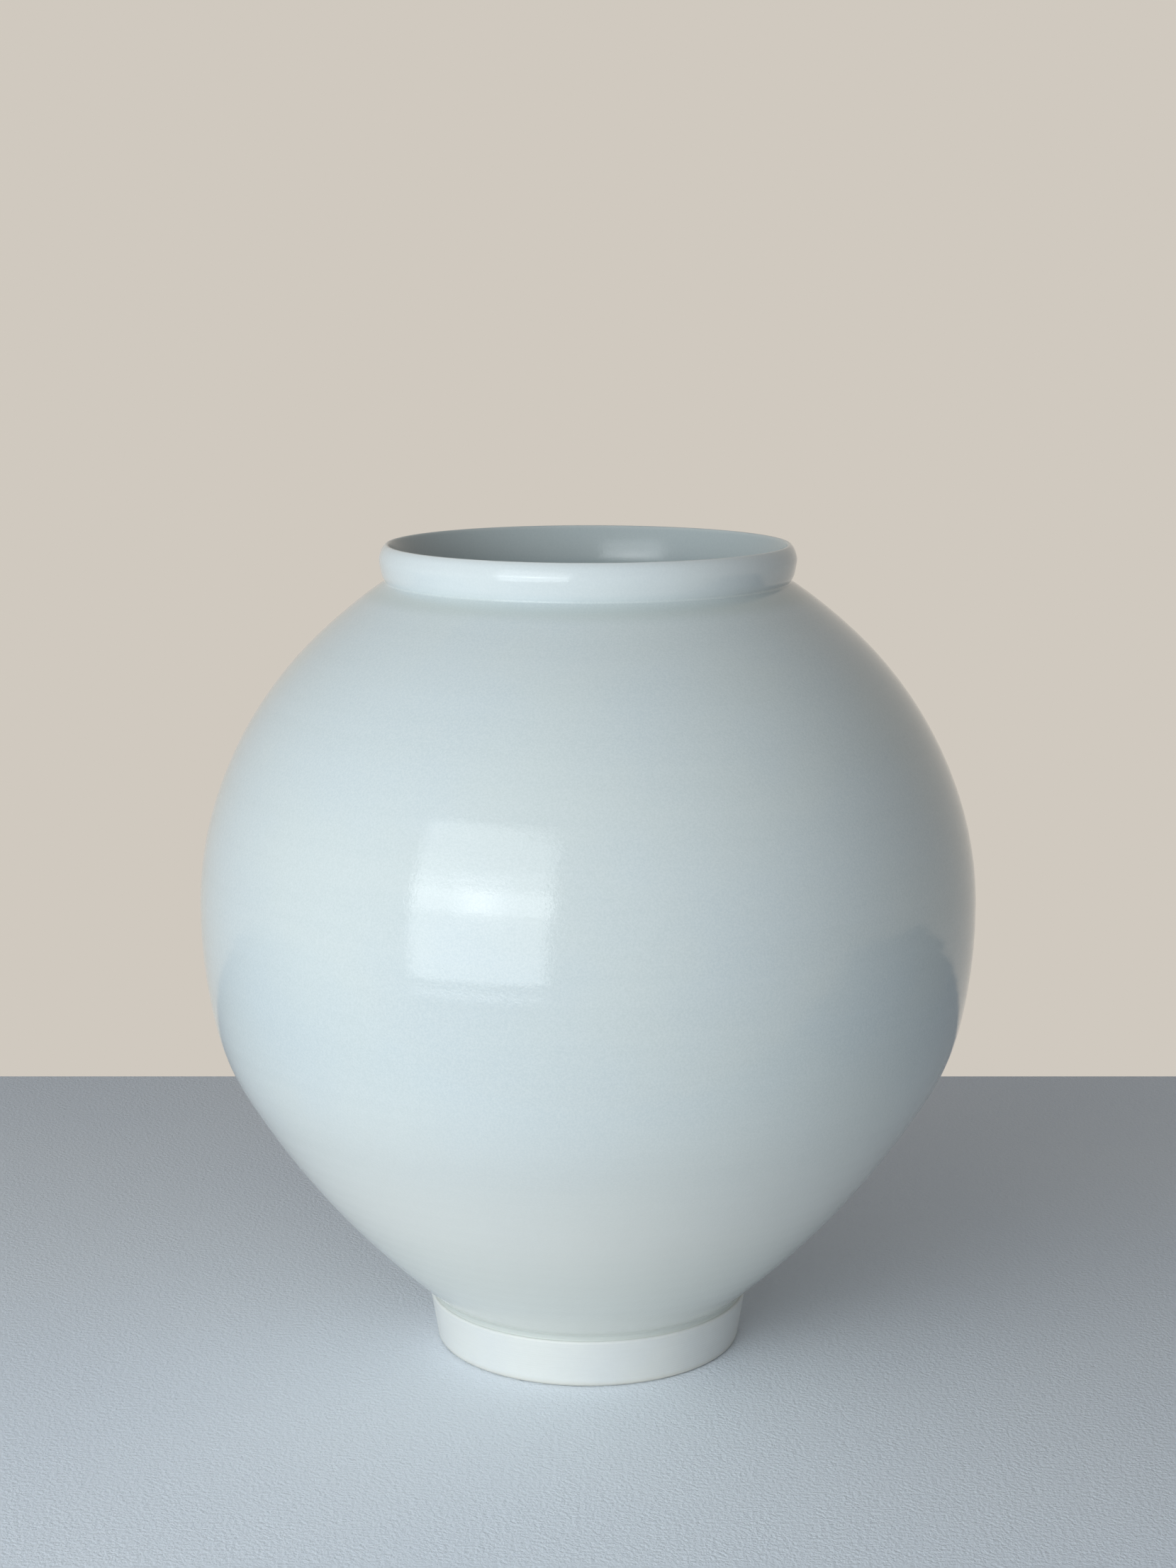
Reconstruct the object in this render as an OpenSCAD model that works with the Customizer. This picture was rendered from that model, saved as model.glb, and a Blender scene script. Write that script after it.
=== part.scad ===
// A round porcelain storage jar: two thrown bowls joined at the widest line, a low rolled
// collar round the mouth, a bare foot ring, slip in the three joints, and coats of glaze.
// The jar stands on z = 0, and its axis is the Z axis. Sizes are in millimetres and degrees.

/* [Whole jar] */
// Height from the table to the crest of the lip
jar_h = 300; // [295:1:302]
// Widest diameter, over the glaze
belly_d = 285; // [281:1:290]
// Height of the widest line above the table
belly_z = 168; // [166:1:172]

/* [Curve of the body] */
// Radius of the first arc above the widest line
high_arc_1 = 127; // [120:1:134]
// Slope at which that arc passes into the next one up
high_turn_1 = 19; // [15:1:23]
// Radius of the second arc above the widest line
high_arc_2 = 143; // [136:1:150]
// Slope at which that arc passes into the flat shoulder
high_turn_2 = 46; // [43:1:48]
// Radius of the first arc below the widest line
low_arc_1 = 197; // [185:1:210]
// Slope at which that arc passes into the next one down
low_turn_1 = 11.5; // [9.5:0.5:13.5]
// Radius of the second arc below the widest line
low_arc_2 = 88; // [82:1:94]
// Slope at which that arc passes into the flat flank
low_turn_2 = 30.5; // [29:0.5:33]

/* [Collar and mouth] */
// Height of the collar above its crease with the shoulder
collar_h = 13.4; // [12.4:0.2:14.6]
// Diameter of the collar at that crease
collar_base_d = 146.8; // [145.8:0.2:147.8]
// Widest diameter of the rolled collar
collar_d = 151.4; // [150.6:0.2:153]
// Height of the collar's widest line above the crease
collar_bulge_h = 7.7; // [6.7:0.1:8.7]
// Diameter of the lip's crest
mouth_d = 145.6; // [144.6:0.2:146.4]
// Radius of the hollow rounding in that crease, where glaze gathers
crease_round = 1.2; // [0.7:0.1:1.7]
// Radius of the rounded lip
lip_r = 0.9; // [0.8:0.1:1.2]
// Narrowest inner diameter of the mouth, over the glaze
throat_d = 137; // [135.6:0.2:138.4]
// Rounding inside, where the shoulder turns up into the mouth
throat_round = 4; // [2.5:0.5:5]

/* [Foot] */
// Height of the foot ring
foot_h = 18.2; // [16.2:0.2:20.2]
// Diameter of the foot ring near its top edge
foot_top_d = 119.2; // [118.8:0.2:121]
// Diameter of the foot ring near the table
foot_low_d = 114; // [112:0.5:116]
// Rounding of the foot's upper outer edge
foot_top_round = 0.9; // [0.4:0.1:1.1]
// Rounding of the foot's lower outer edge
foot_low_round = 1.6; // [1:0.1:2.2]
// Diameter of the short glazed neck above the foot
neck_d = 117; // [116:0.2:117.8]
// Height of that neck, up to where the line of the flank would meet it
neck_h = 1.8; // [1.2:0.1:2.5]
// Radius of the hollow rounding between the neck and the flank
neck_round = 1.5; // [0.8:0.1:2]
// Diameter of the recess inside the foot ring, at the table
recess_d = 97.4; // [95:0.2:100]
// Diameter of the recess at the top of the foot ring
recess_top_d = 94.6; // [92:0.2:96]
// Bevel round the recess at the table
recess_bevel = 0.8; // [0.4:0.1:1.2]
// Thickness of the jar's floor, from the recess up to the glazed inside
floor_t = 9; // [7.5:0.5:11]

/* [Clay, slip and glaze] */
// Thickness of the thrown wall
wall_t = 6; // [5:0.1:7]
// Thickness of each coat of glaze
glaze_t = 0.5; // [0.3:0.05:0.7]
// Thickness of the slip in the joints
slip_t = 0.8; // [0.6:0.1:1.2]
// Depth of the V joint at the widest line
vee_depth = 2.4; // [1.8:0.1:3]
// Width of the V joint at the widest line
vee_w = 3.4; // [2.6:0.1:4]
// Height of the step that centres the collar on the upper bowl
step_h = 2; // [1.4:0.1:2.6]
// Depth of the boss under the lower bowl, which the foot ring sits round
boss_h = 6.2; // [4:0.2:8]

/* [Hidden] */
$fn = 360;

// Longer than any radius or height of the jar
reach = 400;
// How far a chord of an outline may stray from its arc
chord_gap = 0.01;

// A point on an arc, at a slope counted up from the horizontal
function on_arc(centre, radius, slope) = centre + radius * [cos(slope), sin(slope)];
// Centre of the arc that goes on smoothly from another one at a slope
function next_centre(centre, radius, next_radius, slope) =
    centre - (next_radius - radius) * [cos(slope), sin(slope)];
// Radius of the arc that leaves one point at a slope and ends at another point
function closing_radius(start, slope, end) =
    -(end - start) * (end - start) / (2 * (end - start) * [cos(slope), sin(slope)]);
// Angle of the line from one point to another
function way(start, end) = atan2(end.y - start.y, end.x - start.x);

// Outlines are chains of arcs, each given as [centre, radius, first slope, last slope]. The
// slopes are those of the line square to the surface, and the radius of a hollow arc is
// negative, so that every arc is moved into the jar by taking the depth off its radius.
// Number of chords that follow an arc
function chords(arc) =
    ceil(abs(arc[3] - arc[2]) / (2 * acos(1 - chord_gap / abs(arc[1]))));
// Points along a chain of arcs, moved in by a depth, without the chain's last point
function along(arcs, depth) = [
    for (arc = arcs)
        let (steps = chords(arc))
            for (i = [0:steps - 1])
                on_arc(arc[0], arc[1] - depth, arc[2] + (arc[3] - arc[2]) * i / steps)
];
// The last point of a chain of arcs, moved in by a depth
function end_of(arcs, depth) =
    let (arc = arcs[len(arcs) - 1])
        [on_arc(arc[0], arc[1] - depth, arc[3])];
// The same points in the opposite order
function backwards(points) = [for (i = [len(points) - 1:-1:0]) points[i]];

// The radius at the widest line, which both halves of the outline start from
belly_r = belly_d / 2;

// Outline over the glaze above the widest line: three arcs, up to the collar's crease
collar_z = jar_h - collar_h;
crease = [collar_base_d / 2, collar_z];
high_c1 = [belly_r - high_arc_1, belly_z];
high_c2 = next_centre(high_c1, high_arc_1, high_arc_2, high_turn_1);
shoulder_start = on_arc(high_c2, high_arc_2, high_turn_2);
high_arc_3 = closing_radius(shoulder_start, high_turn_2, crease);
high_c3 = next_centre(high_c2, high_arc_2, high_arc_3, high_turn_2);

// Outline over the glaze below the widest line: three arcs, down to the neck
neck_r = neck_d / 2;
low_c1 = [belly_r - low_arc_1, belly_z];
low_c2 = next_centre(low_c1, low_arc_1, low_arc_2, -low_turn_1);
flank_start = on_arc(low_c2, low_arc_2, -low_turn_2);
low_arc_3 = closing_radius(flank_start, -low_turn_2, [neck_r, foot_h + neck_h]);
low_c3 = next_centre(low_c2, low_arc_2, low_arc_3, -low_turn_2);

// The hollow rounding of the neck touches the neck and the flank
neck_x = neck_r + neck_round;
neck_gap = low_arc_3 + neck_round;
neck_c = [neck_x, low_c3.y - sqrt(neck_gap ^ 2 - (neck_x - low_c3.x) ^ 2)];
flank_end = way(low_c3, neck_c);

// Collar: an arc below its widest line, a tighter one above it, then the round lip
lip_c = [mouth_d / 2, jar_h - lip_r];
bulge_z = collar_z + collar_bulge_h;
bulge_out = collar_d / 2 - crease.x;
roll_low_r = (collar_bulge_h ^ 2 + bulge_out ^ 2) / (2 * bulge_out);
roll_low_c = [collar_d / 2 - roll_low_r, bulge_z];
lip_in = collar_d / 2 - lip_c.x;
roll_r = (lip_in ^ 2 + (lip_c.y - bulge_z) ^ 2 - lip_r ^ 2) / (2 * (lip_in - lip_r));
roll_c = [collar_d / 2 - roll_r, bulge_z];
roll_end = way(roll_c, lip_c);

// The hollow rounding of the crease touches the shoulder and the collar: its centre is where
// two circles cross, each larger than its arc by that rounding
shoulder_gap = high_arc_3 + crease_round;
collar_gap = roll_low_r + crease_round;
centres = norm(roll_low_c - high_c3);
crease_bend = acos((shoulder_gap ^ 2 + centres ^ 2 - collar_gap ^ 2)
                   / (2 * shoulder_gap * centres));
shoulder_end = way(high_c3, roll_low_c) - crease_bend;
crease_c = on_arc(high_c3, shoulder_gap, shoulder_end);
collar_start = way(roll_low_c, crease_c);

// The four rounder arcs that the outside and the inside of the body share
round_arcs = [
    [low_c2, low_arc_2, -low_turn_2, -low_turn_1],
    [low_c1, low_arc_1, -low_turn_1, 0],
    [high_c1, high_arc_1, 0, high_turn_1],
    [high_c2, high_arc_2, high_turn_1, high_turn_2]
];

// All arcs of the outside, from the neck up to the crest of the lip
outer_arcs = concat(
    [[neck_c, -neck_round, 0, flank_end]],
    [[low_c3, low_arc_3, flank_end, -low_turn_2]],
    round_arcs,
    [[high_c3, high_arc_3, high_turn_2, shoulder_end]],
    [[crease_c, -crease_round, shoulder_end, collar_start]],
    [[roll_low_c, roll_low_r, collar_start, 0]],
    [[roll_c, roll_r, 0, roll_end]],
    [[lip_c, lip_r, roll_end, 90]]
);

// Inside: the floor's arc, centred on the axis, runs smoothly into the flank's
inside_t = glaze_t + wall_t + glaze_t;
ceiling_z = foot_h - boss_h;
floor_z = ceiling_z + floor_t;
floor_sum = low_arc_3 + floor_z - inside_t;
floor_c = [0, (low_c3 * low_c3 - floor_sum ^ 2) / (2 * (low_c3.y - floor_sum))];
floor_r = floor_c.y - floor_z + inside_t;
floor_end = way(low_c3, floor_c);

// Inside the mouth: a rounding up out of the shoulder, then a slight flare to the lip
throat_r = throat_d / 2;
throat_x = throat_r + throat_round;
throat_gap = high_arc_3 - inside_t + throat_round;
throat_c = [throat_x, high_c3.y + sqrt(throat_gap ^ 2 - (throat_x - high_c3.x) ^ 2)];
throat_start = way(high_c3, throat_c);
lip_out = lip_c.x - throat_r;
flare_h = lip_c.y - throat_c.y;
flare_r = (lip_out ^ 2 + flare_h ^ 2 - lip_r ^ 2) / (2 * (lip_out - lip_r));
flare_c = [throat_r + flare_r, throat_c.y];
flare_end = way(lip_c, flare_c);

// All arcs of the inside, from the middle of the floor up into the mouth. Each radius is the
// inner glaze's own with inside_t added, as if the arc lay on the outer surface.
inner_arcs = concat(
    [[floor_c, floor_r, -90, floor_end]],
    [[low_c3, low_arc_3, floor_end, -low_turn_2]],
    round_arcs,
    [[high_c3, high_arc_3, high_turn_2, throat_start]],
    [[throat_c, inside_t - throat_round, throat_start, 0]],
    [[flare_c, inside_t - flare_r, 0, flare_end]],
    [[lip_c, inside_t - lip_r, flare_end, -90]]
);

// The outer surface from the foot up to the crest, moved in by a depth
function outside(depth) =
    concat([[neck_r - depth, foot_h]], along(outer_arcs, depth), end_of(outer_arcs, depth));
// The inner surface from the floor up to the crest, let into the glaze by a depth
function inside(depth) =
    concat(along(inner_arcs, inside_t - depth), end_of(inner_arcs, inside_t - depth));

// The foot ring's seat, and its inner side, which leans out towards the table
seat_z = foot_h + slip_t;
recess_top_r = recess_top_d / 2;
recess_low_r = recess_d / 2;
boss_r = recess_top_r - slip_t;
recess_lean = (recess_low_r - recess_top_r) / (foot_h - recess_bevel);
ceiling_r = recess_top_r + recess_lean * boss_h;

// Half section of the clay and slip between the two coats of glaze, with its joints uncut
module clay() {
    polygon(concat(
        [[0, ceiling_z]], inside(glaze_t), backwards(outside(glaze_t)),
        [[recess_top_r, foot_h], [ceiling_r, ceiling_z]]
    ));
}

// What lies under the V joint at the widest line
module under_waist(lift) {
    joint_z = belly_z + lift;
    middle = belly_r - glaze_t - wall_t / 2;
    polygon([
        [0, 0], [reach, 0], [reach, joint_z], [middle + vee_w / 2, joint_z],
        [middle, joint_z - vee_depth], [middle - vee_w / 2, joint_z], [0, joint_z]
    ]);
}

// What lies under the stepped seat of the collar
module under_collar(lift) {
    seat = collar_z - slip_t + lift;
    step_r = (throat_r + crease.x - slip_t) / 2 + lift;
    polygon([
        [0, 0], [reach, 0], [reach, seat], [step_r, seat],
        [step_r, seat + step_h], [0, seat + step_h]
    ]);
}

// What lies under the seat of the foot ring, outside the boss that centres it
module under_seat() {
    translate([boss_r, 0])
        square([reach, seat_z]);
}

module foot_ring() {
    top_c = [foot_top_d / 2 - foot_top_round, foot_h - foot_top_round];
    low_c = [foot_low_d / 2 - foot_low_round, foot_low_round];
    lean = acos((foot_low_round - foot_top_round) / norm(top_c - low_c));
    side = way(low_c, top_c) - lean;
    edges = [[low_c, foot_low_round, -90, side], [top_c, foot_top_round, side, 90]];
    color("ivory")
        rotate_extrude()
            polygon(concat(
                [[recess_top_r, foot_h], [recess_low_r, recess_bevel]],
                [[recess_low_r + recess_bevel, 0]],
                along(edges, 0), end_of(edges, 0)
            ));
}

module foot_slip_seam() {
    color("antiquewhite")
        rotate_extrude()
            intersection() {
                clay();
                under_seat();
            }
}

module lower_bowl() {
    color("whitesmoke")
        rotate_extrude()
            difference() {
                intersection() {
                    clay();
                    under_waist(-slip_t / 2);
                }
                under_seat();
            }
}

module waist_slip_seam() {
    color("antiquewhite")
        rotate_extrude()
            difference() {
                intersection() {
                    clay();
                    under_waist(slip_t / 2);
                }
                under_waist(-slip_t / 2);
            }
}

module upper_bowl() {
    color("whitesmoke")
        rotate_extrude()
            difference() {
                intersection() {
                    clay();
                    under_collar(0);
                }
                under_waist(slip_t / 2);
            }
}

module collar_slip_seam() {
    color("antiquewhite")
        rotate_extrude()
            difference() {
                intersection() {
                    clay();
                    under_collar(slip_t);
                }
                under_collar(0);
            }
}

module rim_collar() {
    color("whitesmoke")
        rotate_extrude()
            difference() {
                clay();
                under_collar(slip_t);
            }
}

module inner_glaze() {
    color("lightcyan")
        rotate_extrude()
            polygon(concat(inside(0), backwards(inside(glaze_t))));
}

module outer_glaze() {
    color("lightcyan")
        rotate_extrude()
            polygon(concat(outside(0), backwards(outside(glaze_t))));
}

module base_glaze() {
    color("lightcyan")
        rotate_extrude()
            translate([0, ceiling_z - glaze_t])
                square([boss_r, glaze_t]);
}

foot_ring();
foot_slip_seam();
lower_bowl();
waist_slip_seam();
upper_bowl();
collar_slip_seam();
rim_collar();
inner_glaze();
outer_glaze();
base_glaze();
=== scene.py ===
"""Porcelain moon jar on a plain pale table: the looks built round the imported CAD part."""

import math

import bmesh
import bpy
from mathutils import Matrix, Vector, noise


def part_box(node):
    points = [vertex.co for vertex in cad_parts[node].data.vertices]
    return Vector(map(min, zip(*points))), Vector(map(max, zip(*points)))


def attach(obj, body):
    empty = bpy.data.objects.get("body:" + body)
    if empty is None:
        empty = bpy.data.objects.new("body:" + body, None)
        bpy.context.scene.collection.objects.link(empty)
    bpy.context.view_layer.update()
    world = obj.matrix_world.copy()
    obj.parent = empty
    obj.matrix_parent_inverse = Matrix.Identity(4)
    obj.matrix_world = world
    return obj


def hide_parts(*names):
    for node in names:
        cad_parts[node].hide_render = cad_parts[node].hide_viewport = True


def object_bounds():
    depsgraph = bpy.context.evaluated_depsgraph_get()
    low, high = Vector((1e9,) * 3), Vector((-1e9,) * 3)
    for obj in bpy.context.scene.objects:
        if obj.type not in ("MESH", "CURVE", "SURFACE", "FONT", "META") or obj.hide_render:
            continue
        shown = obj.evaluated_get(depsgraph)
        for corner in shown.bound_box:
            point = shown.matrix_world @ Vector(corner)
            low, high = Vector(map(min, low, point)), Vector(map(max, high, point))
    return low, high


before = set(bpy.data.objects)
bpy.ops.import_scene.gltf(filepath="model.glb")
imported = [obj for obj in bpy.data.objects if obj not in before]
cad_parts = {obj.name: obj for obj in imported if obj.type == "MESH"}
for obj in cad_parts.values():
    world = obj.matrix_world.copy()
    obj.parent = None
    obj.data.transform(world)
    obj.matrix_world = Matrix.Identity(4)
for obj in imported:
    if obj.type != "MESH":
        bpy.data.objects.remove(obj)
cad_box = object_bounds()

MM = 0.001

# Sizes of the jar in millimetres. The first three are read from the imported model, and the others
# repeat the CAD source's values, apart from the crease under the collar, which is sharper here.
JAR_H = round(cad_box[1].z / MM, 2)
BELLY_R = round(cad_box[1].x / MM, 2)
FOOT_H = round(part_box("foot_ring")[1].z / MM, 2)

# The body above and below its widest line: each arc's radius, and the turn where it ends
BELLY_Z = 168.0
HIGH_ARC_1 = 127.0
HIGH_TURN_1 = 19.0
HIGH_ARC_2 = 143.0
HIGH_TURN_2 = 46.0
LOW_ARC_1 = 197.0
LOW_TURN_1 = 11.5
LOW_ARC_2 = 88.0
LOW_TURN_2 = 30.5

# The collar, its lip and the throat inside it
COLLAR_H = 13.4
COLLAR_Z = JAR_H - COLLAR_H
COLLAR_R = 73.4
BULGE_R = 75.7
BULGE_Z = COLLAR_Z + 7.7
CREASE_ROUND = 0.7
MOUTH_R = 72.8
LIP_R = 0.9
THROAT_R = 68.5
THROAT_ROUND = 4.0

# The foot ring, the neck above it and the recess inside it
FOOT_TOP_R = 59.6
FOOT_LOW_R = 57.0
FOOT_TOP_ROUND = 0.9
FOOT_LOW_ROUND = 1.6
NECK_R = 58.5
NECK_H = 1.8
NECK_ROUND = 1.5
RECESS_R = 48.7
RECESS_TOP_R = 47.3
RECESS_BEVEL = 0.8
BOSS_H = 6.2

# Thicknesses
FLOOR_T = 9.0
WALL_T = 6.0
GLAZE_T = 0.5
SLIP_T = 0.8

# Small roundings of the glaze: where it ends on the foot, and at the edge of the base
POOL_ROUND = 0.35
BASE_ROUND = 0.2


# Outlines: points are (r, z), and slopes are in degrees, counted up from the horizontal

def out_of(slope):
    """The direction (r, z) at a slope, one long."""
    angle = math.radians(slope)
    return (math.cos(angle), math.sin(angle))


def on_arc(centre, radius, slope):
    """The point of an arc at a slope."""
    out_r, out_z = out_of(slope)
    return (centre[0] + radius * out_r, centre[1] + radius * out_z)


def next_centre(centre, radius, next_radius, slope):
    """Centre of the arc that goes on smoothly from another one at a slope."""
    return on_arc(centre, radius - next_radius, slope)


def closing_radius(start, slope, end):
    """Radius of the arc that leaves one point at a slope and ends at another point."""
    out_r, out_z = out_of(slope)
    dr = end[0] - start[0]
    dz = end[1] - start[1]
    return -(dr * dr + dz * dz) / (2 * (dr * out_r + dz * out_z))


def lip_radius(aside, up):
    """Radius of the arc that starts upright and runs smoothly into the lip, whose centre lies that
    far aside from the arc's start and above it."""
    return (aside ** 2 + up ** 2 - LIP_R ** 2) / (2 * (aside - LIP_R))


def way(start, end):
    """Slope of the line from one point to another."""
    return math.degrees(math.atan2(end[1] - start[1], end[0] - start[0]))


# The body's arcs, smooth where they meet
high_c1 = (BELLY_R - HIGH_ARC_1, BELLY_Z)
high_c2 = next_centre(high_c1, HIGH_ARC_1, HIGH_ARC_2, HIGH_TURN_1)
shoulder_start = on_arc(high_c2, HIGH_ARC_2, HIGH_TURN_2)
high_arc_3 = closing_radius(shoulder_start, HIGH_TURN_2, (COLLAR_R, COLLAR_Z))
high_c3 = next_centre(high_c2, HIGH_ARC_2, high_arc_3, HIGH_TURN_2)
low_c1 = (BELLY_R - LOW_ARC_1, BELLY_Z)
low_c2 = next_centre(low_c1, LOW_ARC_1, LOW_ARC_2, -LOW_TURN_1)
flank_start = on_arc(low_c2, LOW_ARC_2, -LOW_TURN_2)
low_arc_3 = closing_radius(flank_start, -LOW_TURN_2, (NECK_R, FOOT_H + NECK_H))
low_c3 = next_centre(low_c2, LOW_ARC_2, low_arc_3, -LOW_TURN_2)

# The hollow rounding between the flank and the neck
neck_x = NECK_R + NECK_ROUND
neck_gap = low_arc_3 + NECK_ROUND
neck_c = (neck_x, low_c3[1] - math.sqrt(neck_gap ** 2 - (neck_x - low_c3[0]) ** 2))
flank_end = way(low_c3, neck_c)

# The collar's two arcs, and the hollow rounding of the crease, which touches it and the shoulder
lip_c = (MOUTH_R, JAR_H - LIP_R)
bulge_out = BULGE_R - COLLAR_R
roll_low_r = ((BULGE_Z - COLLAR_Z) ** 2 + bulge_out ** 2) / (2 * bulge_out)
roll_low_c = (BULGE_R - roll_low_r, BULGE_Z)
roll_r = lip_radius(BULGE_R - MOUTH_R, lip_c[1] - BULGE_Z)
roll_c = (BULGE_R - roll_r, BULGE_Z)
roll_end = way(roll_c, lip_c)
shoulder_gap = high_arc_3 + CREASE_ROUND
collar_gap = roll_low_r + CREASE_ROUND
centres = math.dist(roll_low_c, high_c3)
crease_cos = (shoulder_gap ** 2 + centres ** 2 - collar_gap ** 2) / (2 * shoulder_gap * centres)
shoulder_end = way(high_c3, roll_low_c) - math.degrees(math.acos(crease_cos))
crease_c = on_arc(high_c3, shoulder_gap, shoulder_end)
collar_start = way(roll_low_c, crease_c)

# The floor inside, and the throat's rounding and flare up to the lip
inside_t = GLAZE_T + WALL_T + GLAZE_T
ceiling_z = FOOT_H - BOSS_H
floor_z = ceiling_z + FLOOR_T
floor_sum = low_arc_3 + floor_z - inside_t
floor_c = (0.0, (low_c3[0] ** 2 + low_c3[1] ** 2 - floor_sum ** 2) / (2 * (low_c3[1] - floor_sum)))
floor_r = floor_c[1] - floor_z + inside_t
floor_end = way(low_c3, floor_c)
throat_x = THROAT_R + THROAT_ROUND
throat_gap = high_arc_3 - inside_t + THROAT_ROUND
throat_c = (throat_x, high_c3[1] + math.sqrt(throat_gap ** 2 - (throat_x - high_c3[0]) ** 2))
throat_start = way(high_c3, throat_c)
flare_r = lip_radius(MOUTH_R - THROAT_R, lip_c[1] - throat_c[1])
flare_c = (THROAT_R + flare_r, throat_c[1])
flare_end = way(lip_c, flare_c)

# Chains of arcs (centre, radius at the outer skin, first slope, last slope), from the bottom up. The
# inner ones are moved in from there by the wall. A radius below zero is that of a hollow.
POOL_ARC = ((NECK_R + POOL_ROUND, FOOT_H + POOL_ROUND), -POOL_ROUND, 90.0, 0.0)
ROUND_ARCS = [
    (low_c2, LOW_ARC_2, -LOW_TURN_2, -LOW_TURN_1),
    (low_c1, LOW_ARC_1, -LOW_TURN_1, 0.0),
    (high_c1, HIGH_ARC_1, 0.0, HIGH_TURN_1),
    (high_c2, HIGH_ARC_2, HIGH_TURN_1, HIGH_TURN_2),
]
OUTER_ARCS = [
    (neck_c, -NECK_ROUND, 0.0, flank_end),
    (low_c3, low_arc_3, flank_end, -LOW_TURN_2),
    *ROUND_ARCS,
    (high_c3, high_arc_3, HIGH_TURN_2, shoulder_end),
    (crease_c, -CREASE_ROUND, shoulder_end, collar_start),
    (roll_low_c, roll_low_r, collar_start, 0.0),
    (roll_c, roll_r, 0.0, roll_end),
    (lip_c, LIP_R, roll_end, 90.0),
]
INNER_ARCS = [
    (floor_c, floor_r, -90.0, floor_end),
    (low_c3, low_arc_3, floor_end, -LOW_TURN_2),
    *ROUND_ARCS,
    (high_c3, high_arc_3, HIGH_TURN_2, throat_start),
    (throat_c, inside_t - THROAT_ROUND, throat_start, 0.0),
    (flare_c, inside_t - flare_r, 0.0, flare_end),
    (lip_c, inside_t - LIP_R, flare_end, -90.0),
]


# Rings: (r, z, out_r, out_z), where out is the way that the lathe may shift them

def follow(arcs, depth, step, turn):
    """Rings along a chain of arcs moved in by a depth, with out pointing off the outer side of the
    wall. A step is at most that long and turns at most that far. The last arc has its end too."""
    rings = []
    for arc in arcs:
        centre, radius, first, last = arc
        bend = abs(last - first)
        by_length = math.ceil(math.radians(bend) * abs(radius - depth) / step)
        steps = max(1, by_length, math.ceil(bend / turn))
        end_point = 1 if arc is arcs[-1] else 0
        for i in range(steps + end_point):
            slope = first + (last - first) * i / steps
            r, z = on_arc(centre, radius - depth, slope)
            rings.append((max(r, 0.0), z, *out_of(slope)))
    return rings


def straight(start, end, steps, out=(0.0, 0.0)):
    """Rings along a straight line, without its first point."""
    rings = []
    for i in range(1, steps + 1):
        t = i / steps
        rings.append((start[0] + (end[0] - start[0]) * t, start[1] + (end[1] - start[1]) * t, *out))
    return rings


def rounded(centre, radius, first, last, steps):
    """Rings along an arc, without its first point."""
    rings = []
    for i in range(1, steps + 1):
        slope = first + (last - first) * i / steps
        rings.append((*on_arc(centre, radius, slope), *out_of(slope)))
    return rings


def held(rings):
    """The same rings with no way out, so that they stay where they are."""
    return [(*ring[:2], 0.0, 0.0) for ring in rings]


# Lathe work

ON_AXIS = 1e-6


def add_object(name, data):
    """A new object in the scene."""
    made = bpy.data.objects.new(name, data)
    bpy.context.scene.collection.objects.link(made)
    return made


def add_smooth_object(name, mesh, sharp_angle):
    """A new object with smooth faces, and with sharp edges where they bend by more than an angle."""
    mesh.shade_smooth()
    mesh.set_sharp_from_angle(angle=math.radians(sharp_angle))
    return add_object(name, mesh)


def faces_between(low, high):
    """Faces between two rows of vertices. A row of one vertex lies on the axis."""
    around = max(len(low), len(high))
    if around == 1:
        return []
    faces = []
    for k in range(around):
        beside = (k + 1) % around
        if len(low) == 1:
            faces.append((low[0], high[beside], high[k]))
        elif len(high) == 1:
            faces.append((low[k], low[beside], high[0]))
        else:
            faces.append((low[k], low[beside], high[beside], high[k]))
    return faces


def lathe(name, rings, closed, segments, shift):
    """A mesh object turned round the Z axis. Each vertex moves along its ring's way out by
    shift(angle, length along the section, r, z). A closed section ends where it starts."""
    verts = []
    rows = []
    length = 0.0
    before = rings[0][:2]
    for r, z, out_r, out_z in rings:
        length += math.dist((r, z), before)
        before = (r, z)
        around = segments if r > ON_AXIS else 1
        rows.append(range(len(verts), len(verts) + around))
        moves = around > 1 and (out_r or out_z)
        for k in range(around):
            angle = 2 * math.pi * k / segments
            move = shift(angle, length, r, z) if moves else 0.0
            across = r + out_r * move
            up = z + out_z * move
            verts.append((across * math.cos(angle) * MM, across * math.sin(angle) * MM, up * MM))
    faces = []
    for low, high in zip(rows, rows[1:]):
        faces += faces_between(low, high)
    if closed:
        faces += faces_between(rows[-1], rows[0])
    mesh = bpy.data.meshes.new(name)
    mesh.from_pydata(verts, [], faces)
    mesh.validate()
    return add_smooth_object(name, mesh, sharp_angle=35)


# How far each face strays from its even outline, in millimetres

def fade(value, low, high):
    """0 below low, 1 above high, and smooth between."""
    t = min(max((value - low) / (high - low), 0.0), 1.0)
    return t * t * (3 - 2 * t)


def between(value, start, full, ending, end):
    """0 outside start and end, 1 from full to ending, and smooth between."""
    return fade(value, start, full) * (1 - fade(value, ending, end))


def waves(angle, *kinds):
    """Sum of waves round the jar, each kind a count, a height and a phase."""
    return sum(height * math.sin(count * angle + phase) for count, height, phase in kinds)


def ripple(angle, z, seed, scale):
    """Slow seamless noise over the angle and the height, about -1 to 1."""
    reach = 1.3
    place = (math.cos(angle) * reach + seed, math.sin(angle) * reach, z / scale)
    return noise.noise(Vector(place))


def spiral(angle, length, pitch, turns, bend):
    """Wave along the section at a pitch, which winds a number of turns round and is bent by a phase."""
    return math.sin(2 * math.pi * (length / pitch + turns * angle / (2 * math.pi)) + bend)


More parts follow.
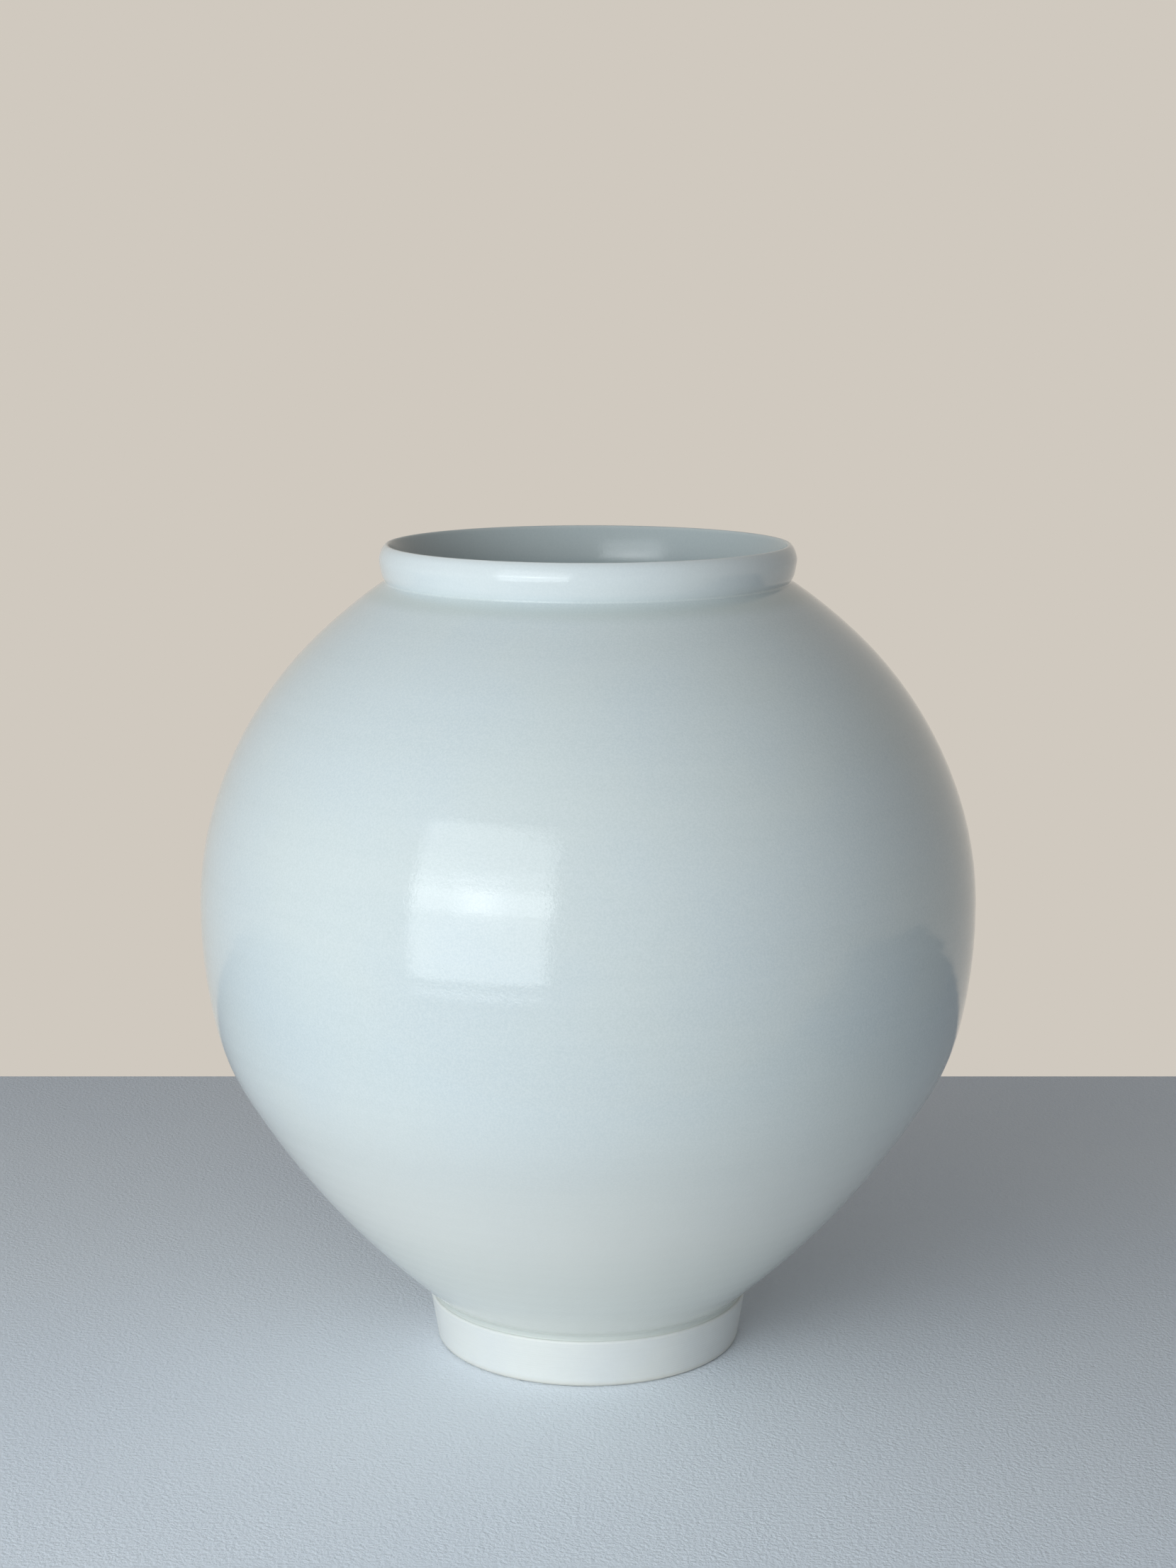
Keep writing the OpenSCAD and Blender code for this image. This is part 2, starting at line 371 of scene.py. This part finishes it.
def body_shift(angle, length, z):
    """The thrown body, set a little inside the CAD skin: it leans by a tenth or two of a millimetre,
    with faint throwing rings and a trace of the seam at the waist."""
    inset, seam_depth, seam_half = 0.2, 0.05, 3.2
    lean = waves(angle, (2, 0.07, 0.8), (3, 0.05, 2.1)) + 0.09 * ripple(angle, z, seed=3.7, scale=60)
    bend = 3 * ripple(angle, z, seed=8.1, scale=30)
    fine_bend = 4 * ripple(angle, z, seed=5.2, scale=20)
    rings = 0.010 * spiral(angle, length, pitch=7.4, turns=1, bend=bend)
    rings += 0.004 * spiral(angle, length, pitch=2.7, turns=-2, bend=fine_bend)
    seam_z = BELLY_Z - 0.4 * math.sin(angle + 1)
    seam = -seam_depth * math.exp(-((z - seam_z) / seam_half) ** 2)
    return lean + rings + seam - inset


def collar_shift(angle, z):
    """The collar, inside the CAD skin: a slight wobble, and a tighter curve along its middle."""
    inset, ridge_z, ridge_w, ridge_depth = 0.07, JAR_H - 5, 6.6, 0.07
    wobble = waves(angle, (2, 0.03, 2.2), (5, 0.02, 0.0)) + 0.02 * ripple(angle, z, seed=1.9, scale=8)
    ridge = ridge_depth * (math.cos(2 * math.pi * (z - ridge_z) / ridge_w) - 1)
    return wobble + ridge - inset


def outer_shift(angle, length, r, z):
    """The outside: the body and the collar, each fading out towards the neck, the crease and the lip."""
    body = between(z, FOOT_H + 2.8, FOOT_H + 15.8, COLLAR_Z - 12.6, COLLAR_Z - 2.6)
    collar = between(z, COLLAR_Z + 1.4, COLLAR_Z + 3.9, JAR_H - 4, JAR_H - 1)
    return body * body_shift(angle, length, z) + collar * collar_shift(angle, z)


def inner_shift(angle, length, r, z):
    """Finger rings inside, let into the glaze on the clay's side."""
    inset = 0.2
    bend = 2.5 * ripple(angle, z, seed=6.3, scale=40)
    fingers = 0.06 * spiral(angle, length, pitch=9.5, turns=-1, bend=bend)
    lean = waves(angle, (2, 0.06, 1.1)) + 0.08 * ripple(angle, z, seed=2.4, scale=50)
    body = fade(r, 6, 20) * (1 - fade(z, COLLAR_Z - 7.6, COLLAR_Z + 5.4))
    return body * (inset + fingers + lean)


def foot_shift(angle, length, r, z):
    """Tool lines and a slightly uneven face, inside the CAD ring, that fade out at its two ends."""
    inset, line_rate, fine_rate = 0.07, 7.0, 17.0
    ends = between(z, 0.8, 2.0, FOOT_H - 0.6, FOOT_H - 0.05)
    lines = 0.012 * math.sin(z * line_rate + 1.2 * math.sin(angle))
    lines += 0.008 * math.sin(z * fine_rate + angle)
    lean = waves(angle, (2, 0.02, 0.4)) + 0.03 * ripple(angle, z, seed=9.4, scale=12)
    return ends * (lines + lean - inset)


def base_shift(angle, length, r, z):
    """The glaze of the base: thicker at its edge, where it gathered, and thin in the middle."""
    inset, gathered = 0.10, 0.12
    return gathered * fade(r, 30, 45) - inset + 0.05 * ripple(angle, r, seed=4.6, scale=14)


# Sections of the four pieces that are finer than their CAD nodes

coarse = 1.0


def outside_rings():
    """The outer glaze: its face from the foot to the crest of the lip, and its back on the clay."""
    pool = follow([POOL_ARC], depth=0.0, step=0.9, turn=15.0)
    face = follow(OUTER_ARCS, depth=0.0, step=0.9 * coarse, turn=3.0)
    back = follow(OUTER_ARCS, depth=GLAZE_T, step=6.0, turn=6.0)[::-1]
    return held(pool) + face + held(back) + [(NECK_R - GLAZE_T, FOOT_H, 0.0, 0.0)]


def inside_rings():
    """The inner glaze: its back on the clay from the lip down, and its face from the floor up."""
    back = follow(INNER_ARCS, depth=inside_t - GLAZE_T, step=6.0, turn=6.0)[::-1]
    face = follow(INNER_ARCS, depth=inside_t, step=1.2 * coarse, turn=4.0)
    return held(back) + face


def foot_rings():
    """The foot ring: recess side, bevel, resting face, outer side and the ledge on top."""
    top_c = (FOOT_TOP_R - FOOT_TOP_ROUND, FOOT_H - FOOT_TOP_ROUND)
    low_c = (FOOT_LOW_R - FOOT_LOW_ROUND, FOOT_LOW_ROUND)
    taper = math.acos((FOOT_LOW_ROUND - FOOT_TOP_ROUND) / math.dist(top_c, low_c))
    side = way(low_c, top_c) - math.degrees(taper)
    low_side = on_arc(low_c, FOOT_LOW_ROUND, side)
    top_side = on_arc(top_c, FOOT_TOP_ROUND, side)
    recess_top = (RECESS_TOP_R, FOOT_H)
    recess_low = (RECESS_R, RECESS_BEVEL)
    recess_out = out_of(way(recess_low, recess_top) + 90)[0]
    bevel_c = (RECESS_R + RECESS_BEVEL, RECESS_BEVEL)
    rings = straight(recess_top, recess_low, 34, (recess_out, 0.0))
    rings += rounded(bevel_c, RECESS_BEVEL, 180, 270, 7)
    rings += straight((bevel_c[0], 0.0), (low_c[0], 0.0), 8)
    rings += rounded(low_c, FOOT_LOW_ROUND, -90, side, 14)
    rings += straight(low_side, top_side, 90, out_of(side))
    rings += rounded(top_c, FOOT_TOP_ROUND, side, 90, 12)
    rings += straight((top_c[0], FOOT_H), recess_top, 9)
    return rings


def base_rings():
    """The glaze of the base: its back on the clay, its rounded edge, and its face in the recess."""
    face_z = ceiling_z - GLAZE_T
    middle_z = face_z + 0.1
    edge_r = RECESS_TOP_R - SLIP_T
    edge_c = (edge_r - BASE_ROUND, face_z + BASE_ROUND)
    rings = [(0.0, ceiling_z, 0.0, 0.0)]
    rings += straight((0.0, ceiling_z), (edge_r, ceiling_z), 8)
    rings += straight((edge_r, ceiling_z), (edge_r, edge_c[1]), 1)
    rings += held(rounded(edge_c, BASE_ROUND, 0, -90, 5))
    rings += straight((edge_c[0], face_z), (0.0, face_z), 50, (0.0, -1.0))[:-1]
    rings += [(0.0, middle_z, 0.0, 0.0)]
    return rings


glaze_outside = lathe("glaze_outside", outside_rings(), closed=True, segments=360, shift=outer_shift)
glaze_inside = lathe("glaze_inside", inside_rings(), closed=False, segments=300, shift=inner_shift)
foot = lathe("bare_foot", foot_rings(), closed=True, segments=360, shift=foot_shift)
glaze_base = lathe("glaze_base", base_rings(), closed=False, segments=240, shift=base_shift)


# Materials

def srgb(colour, change=(0, 0, 0)):
    """A colour written in 0 to 255, with a change added to it, as linear values."""
    linear = []
    for part, added in zip(colour, change):
        part = (part + added) / 255
        linear.append(part / 12.92 if part <= 0.04045 else ((part + 0.055) / 1.055) ** 2.4)
    return (*linear, 1.0)


class Nodes:
    """Short names for building the nodes of a material or the world. Sizes are in metres."""

    def __init__(self, owner):
        owner.use_nodes = True
        self.tree = owner.node_tree
        self.coordinates = self.tree.nodes.new("ShaderNodeTexCoord")
        self.place = self.coordinates.outputs["Object"]

    def add(self, kind, inputs=(), **settings):
        """A node with its settings. An input is a value, or the socket that it comes from."""
        node = self.tree.nodes.new(kind)
        for key, value in settings.items():
            setattr(node, key, value)
        for key, value in dict(inputs).items():
            self.put(value, node.inputs[key])
        return node

    def put(self, value, socket):
        if isinstance(value, bpy.types.NodeSocket):
            self.tree.links.new(value, socket)
        else:
            socket.default_value = value

    def math(self, operation, *values):
        node = self.add("ShaderNodeMath", enumerate(values), operation=operation)
        return node.outputs[0]

    def vector(self, operation, first, second):
        return self.add("ShaderNodeVectorMath", {0: first, 1: second}, operation=operation)

    def stretch(self, *factors):
        return self.vector("MULTIPLY", self.place, factors).outputs[0]

    def noise(self, size, detail, rough, place=None, offset=0.0):
        """Noise whose grains are about size across, from 0 to 1. An offset shows another part of it."""
        place = place or self.place
        if offset:
            place = self.vector("ADD", place, (offset, offset, offset)).outputs[0]
        inputs = {"Vector": place, "Scale": 1 / size, "Detail": detail, "Roughness": rough}
        return self.add("ShaderNodeTexNoise", inputs).outputs["Fac"]

    def ramp(self, value, low, high, to_low=0.0, to_high=1.0):
        """A smooth step from one value at low to another at high."""
        inputs = {"Value": value, "From Min": low, "From Max": high, "To Min": to_low, "To Max": to_high}
        node = self.add("ShaderNodeMapRange", inputs, interpolation_type="SMOOTHSTEP", clamp=True)
        return node.outputs[0]

    def mix(self, share, colour, other):
        node = self.add("ShaderNodeMix", {0: share, 6: colour, 7: other}, data_type="RGBA")
        return node.outputs[2]

    def height(self):
        return self.add("ShaderNodeSeparateXYZ", {0: self.place}).outputs["Z"]

    def by_height(self, start, full, share):
        """0 at one height and a share at another, both in the jar's millimetres."""
        return self.ramp(self.height(), start * MM, full * MM, 0.0, share)

    def band(self, middle, half, share):
        """A share at a height and 0 further than half from it, both in the jar's millimetres."""
        away = self.math("ABSOLUTE", self.math("SUBTRACT", self.height(), middle * MM))
        return self.ramp(away, half * MM, 0.0, 0.0, share)

    def specks(self, cell, radius, share, strength=1.0):
        """Sparse round dots: cells of that size, a dot's radius, and the share of cells with one."""
        cells = self.add("ShaderNodeTexVoronoi", {"Vector": self.place, "Scale": 1 / cell})
        edge = radius / cell
        dot = self.ramp(cells.outputs["Distance"], edge, edge * 0.4, 0.0, strength)
        pick = self.add("ShaderNodeSeparateColor", {0: cells.outputs["Color"]}).outputs[0]
        return self.math("MULTIPLY", dot, self.math("LESS_THAN", pick, share))

    def bump(self, height, depth, below=None, hollow=False):
        """Relief of that depth, on top of another one, and turned inwards if hollow."""
        node = self.add("ShaderNodeBump", {"Height": height, "Distance": depth}, invert=hollow)
        if below:
            self.put(below, node.inputs["Normal"])
        return node.outputs[0]

    def finish_with(self, colour, rough, relief, index=None):
        """Colour, roughness and relief for the material's shader, and its refractive index."""
        shader = self.tree.nodes["Principled BSDF"]
        self.put(colour, shader.inputs["Base Color"])
        self.put(rough, shader.inputs["Roughness"])
        self.put(relief, shader.inputs["Normal"])
        if index:
            shader.inputs["IOR"].default_value = index


def outside_tints_and_painted_light(nodes, colour):
    """The outer glaze's colour over its height: it is deeper where it gathers in the neck, deeper in
    the crease, where painted shade is added to the gathered glaze, and a little warmer towards the
    foot. Painted light makes it lighter and warmer on the lower half, for light bounced up from the
    table, and lighter on the collar and on the up-facing edge of the glaze at the foot."""
    # Painted shade: the band under the collar is darker, partly glaze gathered in the crease and partly
    # the shadow that falls in it.
    colour = nodes.mix(nodes.band(COLLAR_Z - 3, 4, 0.45), colour, srgb((190, 202, 198)))
    for start, full, share, tint in (
            # Painted light: lighter and warmer on the lower half, for light bounced up from the table.
            (BELLY_Z - 18, BELLY_Z - 108, 0.80, (233, 233, 226)),
            (FOOT_H + 59.8, FOOT_H + 26.8, 0.45, (218, 222, 214)),
            (FOOT_H + 2.6, FOOT_H + 1.5, 0.66, (200, 207, 203)),
            # Painted highlight: lighter on the up-facing edge of the glaze at the foot, where light
            # catches it.
            (FOOT_H + 0.7, FOOT_H + 0.2, 0.40, (222, 226, 222)),
            # Painted light: the collar is lighter, for the light that falls on it.
            (COLLAR_Z, COLLAR_Z + 1.2, 0.50, (228, 236, 239))):
        colour = nodes.mix(nodes.by_height(start, full, share), colour, srgb(tint))
    return colour


def glaze_material(name, inside):
    """Milky glaze: faint cloudy and banded tints, a fine grain, deeper colour where it gathers, sparse
    iron specks and pinholes, and a slightly rippled gloss. Inside, painted shade darkens it below the
    throat, and a painted highlight lightens the lip on both sides."""
    material = bpy.data.materials.new(name)
    nodes = Nodes(material)
    milk, cool, warm = (209, 220, 222), (203, 216, 222), (212, 221, 219)
    cloud = nodes.noise(size=0.055, detail=3.0, rough=0.5)
    colour = nodes.mix(nodes.ramp(cloud, 0.35, 0.68), srgb(cool), srgb(warm))
    colour = nodes.mix(0.55, colour, srgb(milk))
    round_lines = nodes.stretch(0.03, 0.03, 1.0)
    round_bands = nodes.stretch(0.05, 0.05, 1.0)
    wheel = nodes.noise(size=0.004, detail=3.0, rough=0.6, place=round_lines)
    wide = nodes.noise(size=0.016, detail=1.0, rough=0.5, place=round_bands, offset=2.0)
    bands = nodes.math("ADD", nodes.math("MULTIPLY", wheel, 0.6), nodes.math("MULTIPLY", wide, 0.4))
    colour = nodes.mix(nodes.ramp(bands, 0.3, 0.7, 0.0, 0.35), colour, srgb((200, 212, 214)))
    grain = nodes.noise(size=0.0007, detail=2.0, rough=0.7)
    colour = nodes.mix(nodes.ramp(grain, 0.3, 0.7, 0.0, 0.50), colour, srgb((224, 232, 233)))
    smears = nodes.noise(size=0.03, detail=3.0, rough=0.6, offset=5.0)
    gloss = nodes.ramp(smears, 0.3, 0.7, 0.045, 0.075)
    if inside:
        # Painted shade: the inner glaze is darker below the throat, where little light reaches inside
        # the jar.
        throat = nodes.by_height(COLLAR_Z - 36.6, COLLAR_Z - 11.6, 0.6)
        colour = nodes.mix(throat, colour, srgb((170, 183, 185)))
        gloss = nodes.math("ADD", gloss, 0.13)
    else:
        colour = outside_tints_and_painted_light(nodes, colour)
        gloss = nodes.math("ADD", gloss, nodes.by_height(FOOT_H + 6.3, FOOT_H + 1.8, 0.30))
        gloss = nodes.math("ADD", gloss, nodes.by_height(COLLAR_Z - 1.6, COLLAR_Z + 1.4, -0.025))
    # Painted highlight: the top of the lip is lighter, standing in for the light line along the rim.
    lip = nodes.by_height(JAR_H - 1.5, JAR_H - 0.1, 0.30)
    colour = nodes.mix(lip, colour, srgb((226, 230, 228)))
    iron = nodes.specks(cell=0.020, radius=0.00030, share=0.10, strength=0.75)
    colour = nodes.mix(iron, colour, srgb((112, 92, 66)))
    ripples = nodes.noise(size=0.0015, detail=1.5, rough=0.5)
    fine_ripples = nodes.noise(size=0.0006, detail=1.0, rough=0.5, offset=3.0)
    pinholes = nodes.specks(cell=0.012, radius=0.00022, share=0.12)
    relief = nodes.bump(ripples, depth=0.000032)
    relief = nodes.bump(fine_ripples, depth=0.000022, below=relief)
    relief = nodes.bump(pinholes, depth=0.00006, below=relief, hollow=True)
    nodes.finish_with(colour, gloss, relief, index=1.52)
    return material


def bare_material(name, tone, line):
    """Bare fired porcelain: satin, fine-grained, with faint tool lines, and painted shade that darkens
    and warms it towards its bottom edge.
    """
    material = bpy.data.materials.new(name)
    nodes = Nodes(material)
    cloud = nodes.ramp(nodes.noise(size=0.03, detail=4.0, rough=0.55), 0.3, 0.7)
    colour = nodes.mix(cloud, srgb(tone), srgb(tone, (-5, -4, -1)))
    lines = nodes.noise(size=line, detail=2.0, rough=0.6, place=nodes.stretch(0.02, 0.02, 1.0))
    colour = nodes.mix(nodes.ramp(lines, 0.35, 0.7, 0.0, 0.10), colour, srgb(tone, (-14, -13, -14)))
    grain = nodes.noise(size=0.0005, detail=3.0, rough=0.7)
    colour = nodes.mix(nodes.ramp(grain, 0.35, 0.75, 0.0, 0.22), colour, srgb((238, 240, 236)))
    # Painted shade: darker and warmer over the bottom few millimetres, where shade falls on the bevel
    # and at the contact with the table.
    colour = nodes.mix(nodes.by_height(2.8, 0.0, 0.45), colour, srgb((196, 190, 172)))
    specks = nodes.specks(cell=0.009, radius=0.00018, share=0.12, strength=0.6)
    colour = nodes.mix(specks, colour, srgb((150, 132, 104)))
    rough = nodes.ramp(grain, 0.3, 0.7, 0.42, 0.56)
    relief = nodes.bump(grain, depth=0.00002)
    relief = nodes.bump(lines, depth=0.00002, below=relief)
    nodes.finish_with(colour, rough, relief, index=1.5)
    return material


def slip_material(name):
    """Fired slip in the joints: matt, a little creamier, with a grainy face."""
    material = bpy.data.materials.new(name)
    nodes = Nodes(material)
    cloud = nodes.ramp(nodes.noise(size=0.006, detail=4.0, rough=0.6), 0.3, 0.7)
    colour = nodes.mix(cloud, srgb((222, 219, 207)), srgb((208, 205, 194)))
    grain = nodes.noise(size=0.0006, detail=3.0, rough=0.7)
    colour = nodes.mix(nodes.ramp(grain, 0.35, 0.75, 0.0, 0.4), colour, srgb((235, 232, 222)))
    rough = nodes.ramp(grain, 0.3, 0.7, 0.6, 0.78)
    nodes.finish_with(colour, rough, nodes.bump(grain, depth=0.00005))
    return material


def table_material(name):
    """The table's paint: nearly even in colour, matt, with a fine stipple."""
    material = bpy.data.materials.new(name)
    nodes = Nodes(material)
    cloud = nodes.ramp(nodes.noise(size=0.25, detail=3.0, rough=0.5), 0.3, 0.7)
    colour = nodes.mix(cloud, srgb((234, 242, 252)), srgb((238, 245, 253)))
    stipple = nodes.noise(size=0.0016, detail=2.0, rough=0.6)
    nodes.finish_with(colour, 0.55, nodes.bump(stipple, depth=0.00055))
    return material


glaze_out = glaze_material("milky_glaze", inside=False)
glaze_in = glaze_material("milky_glaze_inside", inside=True)
bare = bare_material("bare_porcelain_foot", tone=(233, 235, 231), line=0.0011)
hidden_clay = bare_material("bare_porcelain_body", tone=(224, 227, 221), line=0.0022)
slip = slip_material("fired_slip")

for piece, material, node, slot in (
        (glaze_outside, glaze_out, "outer_glaze", "porcelain_glaze"),
        (glaze_inside, glaze_in, "inner_glaze", "porcelain_glaze"),
        (foot, bare, "foot_ring", "bare_porcelain"),
        (glaze_base, glaze_in, "base_glaze", "porcelain_glaze")):
    piece.data.materials.append(material)
    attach(piece, "root")
    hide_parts(node)

for node, material in (
        ("lower_bowl", hidden_clay),
        ("upper_bowl", hidden_clay),
        ("rim_collar", hidden_clay),
        ("waist_slip_seam", slip),
        ("collar_slip_seam", slip),
        ("foot_slip_seam", slip)):
    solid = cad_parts[node]
    if not solid.material_slots:
        solid.data.materials.append(material)
    for material_slot in solid.material_slots:
        material_slot.material = material


# The table top, in metres: a plain pale slab with softened edges

TABLE_W = 2.6
TABLE_FRONT = -0.29
TABLE_BACK = 0.338
TABLE_T = 0.03
TABLE_EDGE = 0.002


def table_top():
    """The slab's top lies at the foot of the jar, and its back edge is the line behind the jar."""
    slab = bmesh.new()
    bmesh.ops.create_cube(slab, size=1.0)
    for corner in slab.verts:
        corner.co.x *= TABLE_W
        corner.co.y = TABLE_FRONT + (corner.co.y + 0.5) * (TABLE_BACK - TABLE_FRONT)
        corner.co.z = (corner.co.z - 0.5) * TABLE_T
    bmesh.ops.bevel(
        slab, geom=slab.edges[:], offset=TABLE_EDGE, segments=4, affect="EDGES", profile=0.5)
    mesh = bpy.data.meshes.new("table_top")
    slab.to_mesh(mesh)
    slab.free()
    table = add_smooth_object("table_top", mesh, sharp_angle=40)
    table.data.materials.append(table_material("table_paint"))


table_top()


# Lights: a window-like softbox in layers at the front left, and a wide fill that isn't reflected

LAMP_AIM = Vector((0.0, 0.0, 0.19))


def softbox(name, azimuth, elevation, distance, size, radiance, colour):
    """A rectangular lamp, seen from the jar at an azimuth (0 at -Y, growing to +X) and an elevation."""
    around = math.radians(azimuth)
    up = math.radians(elevation)
    off = Vector((math.sin(around) * math.cos(up), -math.cos(around) * math.cos(up), math.sin(up)))
    data = bpy.data.lights.new(name, "AREA")
    data.shape = "RECTANGLE"
    data.size, data.size_y = size
    data.energy = radiance * math.pi * size[0] * size[1]
    data.color = colour
    lamp = add_object(name, data)
    turned = off.to_track_quat("Z", "Y").to_matrix().to_4x4()
    lamp.matrix_world = Matrix.Translation(LAMP_AIM + off * distance) @ turned
    lamp.visible_camera = False
    return lamp


for name, azimuth, elevation, distance, size, radiance, colour in (
        ("window", -29.5, 10.0, 1.25, (0.88, 1.06), 1.8, (0.89, 0.96, 1.0)),
        ("window_low", -29.5, 4.5, 1.24, (0.86, 0.80), 0.60, (0.88, 0.96, 1.0)),
        ("window_blind", -29.0, 12.4, 1.2, (0.86, 0.16), 1.6, (0.93, 0.98, 1.0)),
        ("window_lamp", -29.3, 12.0, 1.15, (0.14, 0.12), 1.2, (1.0, 1.0, 1.0)),
        ("window_glow", -29.3, 12.0, 1.17, (0.30, 0.26), 0.9, (0.96, 0.985, 1.0))):
    softbox(name, azimuth, elevation, distance, size, radiance, colour)

fill = softbox("front_fill", -28.0, 22.0, 1.6, (2.0, 1.4), 0.77, (0.955, 0.985, 1.0))
fill.visible_glossy = False


# The room: its even light, and the plain backdrop

ROOM_COLOUR = (0.94, 0.975, 1.0, 1.0)
ROOM_LEVEL = 0.30
ROOM_SLOPE = 0.15
ROOM_BRIGHT_WAY = (-0.95, -0.55, -0.80)
BACKDROP_COLOUR = (208, 201, 191)


def pale_room():
    """The world: soft light, a little stronger from the left, the front and below, and a backdrop
    that the camera, reflections and clear things see instead."""
    world = bpy.data.worlds.new("pale_room")
    bpy.context.scene.world = world
    nodes = Nodes(world)
    rays = nodes.add("ShaderNodeLightPath").outputs
    seen = nodes.math("MAXIMUM", rays["Is Camera Ray"], rays["Is Glossy Ray"])
    seen = nodes.math("MAXIMUM", seen, rays["Is Transmission Ray"])
    way_in = nodes.coordinates.outputs["Generated"]
    towards = nodes.vector("DOT_PRODUCT", way_in, ROOM_BRIGHT_WAY).outputs["Value"]
    room = nodes.tree.nodes["Background"]
    room.inputs["Color"].default_value = ROOM_COLOUR
    nodes.put(nodes.math("MULTIPLY_ADD", towards, ROOM_SLOPE, ROOM_LEVEL), room.inputs["Strength"])
    backdrop = nodes.add("ShaderNodeBackground", {"Color": srgb(BACKDROP_COLOUR), "Strength": 1.0})
    both = nodes.add("ShaderNodeMixShader", {0: seen, 1: room.outputs[0], 2: backdrop.outputs[0]})
    nodes.put(both.outputs[0], nodes.tree.nodes["World Output"].inputs["Surface"])


pale_room()


# The photograph's camera: its place in metres, its tilt in degrees from straight down

CAMERA_PLACE = (0.0, -0.9864, 0.3920)
CAMERA_TILT = 79.613
CAMERA_LENS = 62.59


def photograph_camera():
    """The camera that was fitted to the jar's mouth, foot and outline."""
    lens = bpy.data.cameras.new("camera")
    lens.lens = CAMERA_LENS
    lens.sensor_width = 36.0
    lens.clip_start = 0.01
    lens.clip_end = 50.0
    camera = add_object("camera", lens)
    camera.location = CAMERA_PLACE
    camera.rotation_euler = (math.radians(CAMERA_TILT), 0.0, 0.0)
    bpy.context.scene.camera = camera


photograph_camera()
bpy.context.scene.view_settings.view_transform = "Standard"
